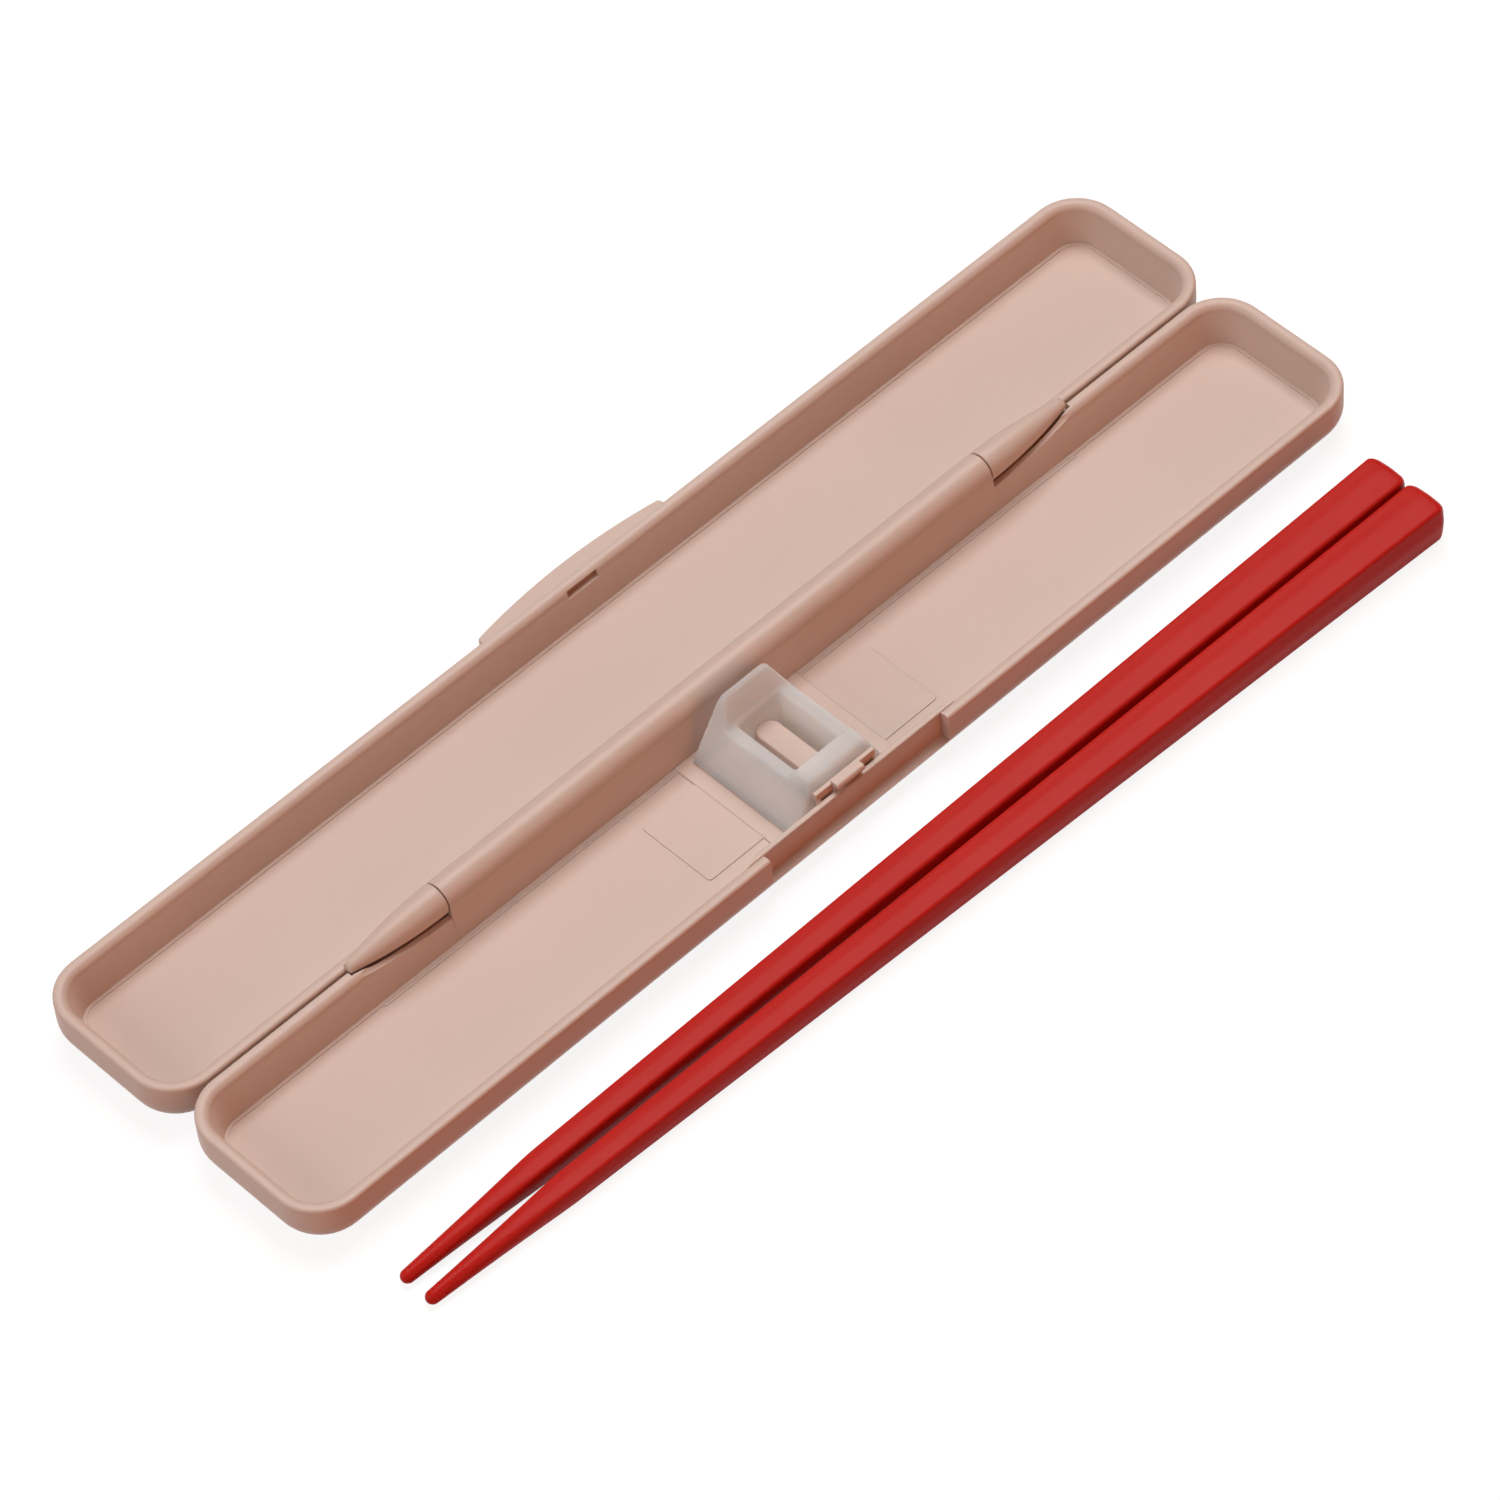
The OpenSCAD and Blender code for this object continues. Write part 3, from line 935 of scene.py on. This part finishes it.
@dataclass
class LidTray:
    """The rear tray with its hinge knuckles, finger lip and catch slot, lying open."""

    shell: TrayShell = field(default_factory=TrayShell)
    hinge: HingeLine = field(default_factory=HingeLine)
    centre_y: float = 28.0
    hinge_wall_y: Pair = (15.2, 17.6)
    wall_fade: float = 11.0
    lip_len: float = 34.0
    lip_reach: float = 2.18
    lip_end_reach: float = 0.7
    lip_end: Pair = (0.25, 0.35)
    lip_root: float = 1.0
    lip_t: float = 1.2
    lip_points: int = 49
    slot_x: float = 2.8
    slot_y: Pair = (38.8, 40.6)
    slot_z: Pair = (6.0, 7.25)

    def dress(self, finishes: Finishes) -> None:
        """Builds the lid's pieces and dresses them."""
        for piece in self.build():
            finishes.dress(piece, Slot.CASE, Body.LID, "lid_tray")

    def build(self) -> list[Object]:
        """Makes every piece that is moulded on the lid."""
        knuckles = (self.hinge.knuckle(f"lid_knuckle_{side.name.lower()}", side) for side in Side)
        return [self.tray(), self.hinge_wall(), self.lip(), *map(soften, knuckles)]

    def tray(self) -> Object:
        """The shell, with the barrel's trough and the catch slot cut into it.

        Returns:
            The piece.
        """
        slot = block("slot", (-self.slot_x, self.slot_y[0], self.slot_z[0]),
                     (self.slot_x, self.slot_y[1], self.slot_z[1]))
        piece = self.shell.build("lid_shell", self.centre_y)
        shape(piece, Merge.CUT, self.hinge.trough(), slot)
        return soften(piece, width=0.15, angle=40)

    def hinge_wall(self) -> Object:
        """The wall behind the barrel, hollowed out for it and thinning out past its ends.

        Returns:
            The piece.
        """
        full = self.hinge.start + self.shell.wall_t
        wide = full + self.wall_fade
        low, high = self.hinge_wall_y
        top = self.shell.tray_h - 2 * SLIVER
        outline = np.array([[-wide, low], [wide, low], [full, high], [-full, high]])
        piece = stretch("lid_hinge_wall", outline, "Z", self.shell.wall_root, top)
        shape(piece, Merge.CUT, self.hinge.trough())
        return soften(piece, width=0.2, angle=40)

    def lip(self) -> Object:
        """The finger lip: a flat tongue whose edge is an arc that reaches furthest at its middle.

        Returns:
            The piece.
        """
        far, half = self.centre_y + self.shell.tray_w / 2, self.lip_len / 2
        rise = self.lip_reach - self.lip_end_reach
        radius = (half ** 2 + rise ** 2) / (2 * rise)
        inset, drop = self.lip_end
        x = np.linspace(-half + inset, half - inset, self.lip_points)
        bow = np.stack([x, far + self.lip_reach - radius + np.sqrt(radius ** 2 - x ** 2)], 1)
        end, root = far + self.lip_end_reach - drop, far - self.lip_root
        outline = np.concatenate([bow, [[half, end], [half, root], [-half, root], [-half, end]]])
        top = self.shell.tray_h
        piece = stretch("lid_finger_lip", outline, "Z", top - self.lip_t, top - SLIVER)
        return soften(piece, width=0.3, segments=4)


@dataclass
class Cradle:
    """The soft rest: a tall back wall, two sloping sides with a seat between them, and a front bar."""

    foot_half: float = 9.1
    top_half: float = 4.1
    top_r: float = 2.0
    top_steps: int = 8
    floor_z: float = 1.85
    seat_z: float = 8.5
    top_z: float = 12.5
    bar_z: float = 10.1
    back_foot_y: float = 9.6
    back_top_y: float = 8.4
    back_top_t: float = 0.9
    seat_y: Pair = (-5.8, 5.7)
    front_y: float = -10.1
    bar_slope: float = 0.8
    side_radii: tuple[float, ...] = (0, 0, 0.35, 0.4, 0.9, 0.7, 0.7, 0.7, 0.4)
    seat_edge: float = 2.0
    seat_draw: float = 1.0
    seat_r: float = 0.5
    seat_floor_z: float = 3.05
    rib_half: float = 1.95
    rib_back: float = 5.5
    rib_top: float = 5.8
    across: float = 20.0
    grain: float = 0.2
    melting: float = 0.5
    melting_steps: int = 9

    def dress(self, finishes: Finishes) -> None:
        """Builds the cradle and dresses it."""
        finishes.dress(self.build(), Slot.CRADLE, Body.BASE, "chopstick_cradle")

    def front_outline(self) -> Array:
        """The cradle as it is seen from the front: sides that lean in to a narrow top."""
        return fillet([(-self.foot_half, self.floor_z), (self.foot_half, self.floor_z),
                       (self.top_half, self.top_z), (-self.top_half, self.top_z)],
                      [0, 0, self.top_r, self.top_r], self.top_steps)

    def side_outline(self) -> Array:
        """The cradle as it is seen from the side: the tall back wall, the seat and the front bar.

        Returns:
            Y and Z of each point.
        """
        front, back = self.seat_y
        return fillet(
            [(self.front_y, self.floor_z), (self.back_foot_y, self.floor_z), (self.back_top_y, self.top_z),
             (self.back_top_y - self.back_top_t, self.top_z), (back, self.seat_z), (front, self.seat_z),
             (front - self.bar_slope, self.bar_z), (self.front_y + self.bar_slope / 2, self.bar_z),
             (self.front_y, self.seat_z)], self.side_radii)

    def seat(self) -> Object:
        """The hollow of the seat: what two outlines that narrow downwards have in common.

        Returns:
            The tool that cuts it.
        """
        half = np.interp(self.seat_z, [self.floor_z, self.top_z], [self.foot_half, self.top_half])
        half, top = half - self.seat_edge, self.top_z + OVERRUN
        low = half - self.seat_draw
        from_front = fillet([(-low, self.seat_floor_z), (low, self.seat_floor_z), (half, self.seat_z),
                             (half, top), (-half, top), (-half, self.seat_z)],
                            [self.seat_r, self.seat_r, 0, 0, 0, 0])
        front, back = self.seat_y
        brim, skin = self.seat_z + 2 * SLIVER, 2 * SLIVER
        from_side = fillet([(front + self.seat_draw, self.seat_floor_z),
                            (back - self.seat_draw, self.seat_floor_z), (back + skin, brim),
                            (front - skin, brim)], [self.seat_r, self.seat_r, 0, 0])
        hollow = stretch("seat", from_front, "Y", -self.across, self.across)
        side_view = stretch("seat_side", from_side, "X", -self.across, self.across)
        return shape(hollow, Merge.KEEP_COMMON, side_view)

    def rib_slot(self) -> Object:
        """The tool that cuts the slot for the base's rib."""
        outline = tongue(self.rib_half, -self.across, self.rib_back)
        return stretch("rib_slot", outline, "Z", 0, self.rib_top)

    def build(self) -> Object:
        """Makes the cradle where its two outlines cross, cuts it out and melts its edges.

        Returns:
            The piece.
        """
        wide = self.foot_half + OVERRUN / 2
        piece = stretch("cradle", self.side_outline(), "X", -wide, wide)
        front_view = stretch("front_view", self.front_outline(), "Y", -self.across, self.across)
        shape(piece, Merge.KEEP_COMMON, front_view)
        shape(piece, Merge.CUT, self.seat(), self.rib_slot())
        even = piece.modifiers.new("even_grid", "REMESH")
        even.mode, even.voxel_size = "VOXEL", self.grain * MM
        melt = piece.modifiers.new("soft_edges", "SMOOTH")
        melt.factor, melt.iterations = self.melting, self.melting_steps
        settle(piece)
        shade_smooth(piece)
        return piece


@dataclass
class Chopstick:
    """A chopstick: a square handle with rounded edges that tapers to a round tip."""

    name: str
    node: str
    body: Body
    tip: Pair
    end: Pair
    length: float = 182.0
    handle_half: float = 3.4
    neck_at: float = 23.0
    neck_half: float = 1.85
    tip_r: float = 1.05
    end_r: float = 1.5
    squareness: Vector3 = (2.0, 8.0, 16.0)
    end_squareness: float = 6.0
    crown: float = 0.05
    point: float = 0.0004
    end_part: float = 3.0
    end_points: int = 11
    middle_points: int = 60
    steps: int = 144

    def dress(self, finishes: Finishes) -> None:
        """Builds the chopstick and dresses it."""
        finishes.dress(self.build(), Slot.STICK, self.body, self.node)

    def build(self) -> Object:
        """Carries a crowned square with rounded edges along the stick.

        In polar form the square's reach is one over the root of the sum of the powers of the cosine and
        the sine: the power grows from two at the round tip to a high one at the handle. One plus the
        crown times the squared cosine of twice the angle then bulges its sides. The half width goes
        straight from the tip to the neck and from the neck to the handle. The tip closes along a half
        ball and the handle's end along a quarter circle.

        Returns:
            The piece, lying where the node lies.
        """
        turn = np.radians(np.linspace(0, 90, self.end_points))
        middle = np.linspace(self.end_part, self.length - self.end_part, self.middle_points)
        along = np.concatenate([self.tip_r * (1 - np.cos(turn)), middle,
                                self.length - self.end_r * (1 - np.sin(turn))])
        stops = [self.tip_r, self.neck_at, self.length - self.end_r]
        half = np.interp(along, stops, [self.tip_r, self.neck_half, self.handle_half])
        past = np.clip((along - stops[-1]) / self.end_r, 0, 1)
        ball = np.sqrt(np.clip(1 - (1 - np.minimum(along / self.tip_r, 1)) ** 2, self.point, 1))
        shown = half * ball - self.end_r * (1 - np.sqrt(1 - past ** 2))
        powers = np.array([*self.squareness, self.end_squareness])
        power = 1 / np.interp(along, [*stops, self.length], 1 / powers)[:, None]
        angle = np.linspace(0, 2 * math.pi, self.steps, endpoint=False)
        sides = np.abs(np.stack([np.cos(angle), np.sin(angle)]))[:, None] ** power
        bulge = (1 + self.crown * np.cos(2 * angle) ** 2) / (1 + self.crown)
        reach = shown[:, None] * sides.sum(0) ** (-1 / power) * bulge
        across = reach * np.cos(angle)
        height = half[:, None] + reach * np.sin(angle)
        lean = math.atan2(self.end[1] - self.tip[1], self.length)
        x = self.tip[0] + along[:, None] * math.cos(lean) - across * math.sin(lean)
        y = self.tip[1] + along[:, None] * math.sin(lean) + across * math.cos(lean)
        return soften(mesh_object(self.name, np.stack([x, y, height], 2)))


# The studio


def stand(item: Object, right: Array, back: Array, place: Array) -> None:
    """Turns a camera or a light and puts it in its place.

    Args:
        item: The camera or light.
        right: Unit direction to its right.
        back: Unit direction away from what it faces.
        place: Where it stands, in metres.
    """
    matrix = np.eye(4)
    matrix[:3, :3] = np.stack([right, np.cross(back, right), back], 1)
    matrix[:3, 3] = place
    item.matrix_world = Matrix(matrix.tolist())


@dataclass(frozen=True)
class PhotoCamera:
    """The camera of the photograph, in degrees, millimetres and pixels."""

    azimuth: float = -39.525
    elevation: float = 50.939
    roll: float = -6.0
    target: Vector3 = (-5.278, 1.714, 7.7)
    distance: float = 1000.419
    focal_px: float = 7541.595
    frame_px: int = 1500
    sensor_w: float = 36.0
    clip_m: Pair = (0.01, 20.0)

    def build(self) -> None:
        """Makes the camera and gives it to the scene."""
        turn, rise, roll = np.radians([self.azimuth, self.elevation, self.roll])
        back = np.array([math.sin(turn) * math.cos(rise), -math.cos(turn) * math.cos(rise), math.sin(rise)])
        level = np.array([math.cos(turn), math.sin(turn), 0.0])
        right = math.cos(roll) * level + math.sin(roll) * np.cross(back, level)
        data = bpy.data.cameras.new("photo_camera")
        data.sensor_width = self.sensor_w
        data.lens = self.focal_px / self.frame_px * self.sensor_w
        data.clip_start, data.clip_end = self.clip_m
        camera = add_object("photo_camera", data)
        stand(camera, right, back, (np.array(self.target) + back * self.distance) * MM)
        bpy.context.scene.camera = camera


@dataclass(frozen=True)
class SoftLight:
    """A square soft light that faces the origin, in metres and watts."""

    name: str
    place: Vector3
    size: float
    power: float
    tint: Vector3 = (1.0, 1.0, 1.0)
    steep: float = 0.9

    def build(self) -> None:
        """Makes the light."""
        data = bpy.data.lights.new(self.name, "AREA")
        data.shape, data.size, data.energy, data.color = "SQUARE", self.size, self.power, self.tint
        back = np.array(self.place) / np.linalg.norm(self.place)
        right = np.cross([0.0, 1.0, 0.0] if abs(back[2]) > self.steep else [0.0, 0.0, 1.0], back)
        stand(add_object(self.name, data), right / np.linalg.norm(right), back, self.place)


@dataclass(frozen=True)
class Studio:
    """A white floor, a key light above, a fill on the left, a warm fill in front and a dim surround."""

    lights: tuple[SoftLight, ...] = (
        SoftLight("key_light", (0.42, 0.35, 1.21), 0.8, 13.2),
        SoftLight("left_fill", (-0.85, 0.10, 0.42), 0.5, 2.9),
        SoftLight("front_fill", (0.10, -0.85, 0.30), 0.6, 1.85, (1.0, 0.38, 0.2)))
    surround: Colour = (0.08, 0.05, 0.035, 1.0)
    bounce: Colour = (0.40, 0.14, 0.06, 1.0)
    shaded_white: Colour = (0.95, 0.95, 0.95, 1.0)
    shown_white: float = 1.1
    shadow_share: float = 0.2
    floor_half: float = 3000.0
    floor_z: Pair = (-4.0, -0.02)

    def build(self) -> None:
        """Makes the floor, the lights and the surround."""
        self.floor()
        for light in self.lights:
            light.build()
        self.world()
        bpy.context.scene.view_settings.view_transform = "Standard"

    def floor(self) -> None:
        """The floor: white with a faint shadow where it is seen, and a warm tone where light bounces."""
        half, (low, high) = self.floor_half, self.floor_z
        piece = block("studio_floor", (-half, -half, low), (half, half, high))
        board = NodeBoard("floor_white")
        path = board.add("ShaderNodeLightPath")
        bounce = board.add("ShaderNodeBsdfDiffuse", Color=self.bounce)
        shown = board.add("ShaderNodeBsdfDiffuse", Color=self.shaded_white)
        white = board.add("ShaderNodeEmission", Color=WHITE, Strength=self.shown_white)
        mixed = board.add("ShaderNodeMixShader", Fac=1.0 - self.shadow_share)
        choose = board.add("ShaderNodeMixShader")
        board.link(shown.outputs["BSDF"], mixed.inputs[1])
        board.link(white.outputs["Emission"], mixed.inputs[2])
        seen = path.outputs["Is Camera Ray"]
        for ray in ("Is Glossy Ray", "Is Transmission Ray"):
            either = board.add("ShaderNodeMath")
            either.operation = "MAXIMUM"
            board.link(seen, either.inputs[0])
            board.link(path.outputs[ray], either.inputs[1])
            seen = either.outputs["Value"]
        board.link(seen, choose.inputs["Fac"])
        board.link(bounce.outputs["BSDF"], choose.inputs[1])
        board.link(mixed.outputs["Shader"], choose.inputs[2])
        board.tree.nodes.remove(board.shader)
        board.link(choose.outputs["Shader"], board.tree.nodes["Material Output"].inputs["Surface"])
        piece.data.materials.append(board.material)

    def world(self) -> None:
        """The surround: white to the camera, and dim and even to the object."""
        world = bpy.data.worlds.new("studio_surround")
        bpy.context.scene.world = world
        world.use_nodes = True
        tree = world.node_tree
        tree.nodes.clear()
        path = tree.nodes.new("ShaderNodeLightPath")
        choose = tree.nodes.new("ShaderNodeMixShader")
        output = tree.nodes.new("ShaderNodeOutputWorld")
        tree.links.new(path.outputs["Is Camera Ray"], choose.inputs["Fac"])
        for place, colour in ((1, self.surround), (2, WHITE)):
            glow = tree.nodes.new("ShaderNodeBackground")
            glow.inputs["Color"].default_value = colour
            tree.links.new(glow.outputs["Background"], choose.inputs[place])
        tree.links.new(choose.outputs["Shader"], output.inputs["Surface"])


def main() -> None:
    """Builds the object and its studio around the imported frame."""
    logging.basicConfig(level=logging.INFO, format="%(name)s: %(message)s")
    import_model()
    PhotoCamera().build()
    finishes = Finishes()
    rear = Chopstick("rear_chopstick", "chopstick_rear", Body.REAR_STICK, tip=(-92.4, -23.65),
                     end=(89.6, -26.1))
    front = Chopstick("front_chopstick", "chopstick_front", Body.FRONT_STICK, tip=(-92.4, -28.35),
                      end=(89.6, -33.3))
    for assembly in (BaseTray(), LidTray(), Cradle(), rear, front):
        assembly.dress(finishes)
    Studio().build()


if __name__ == "__main__":
    main()
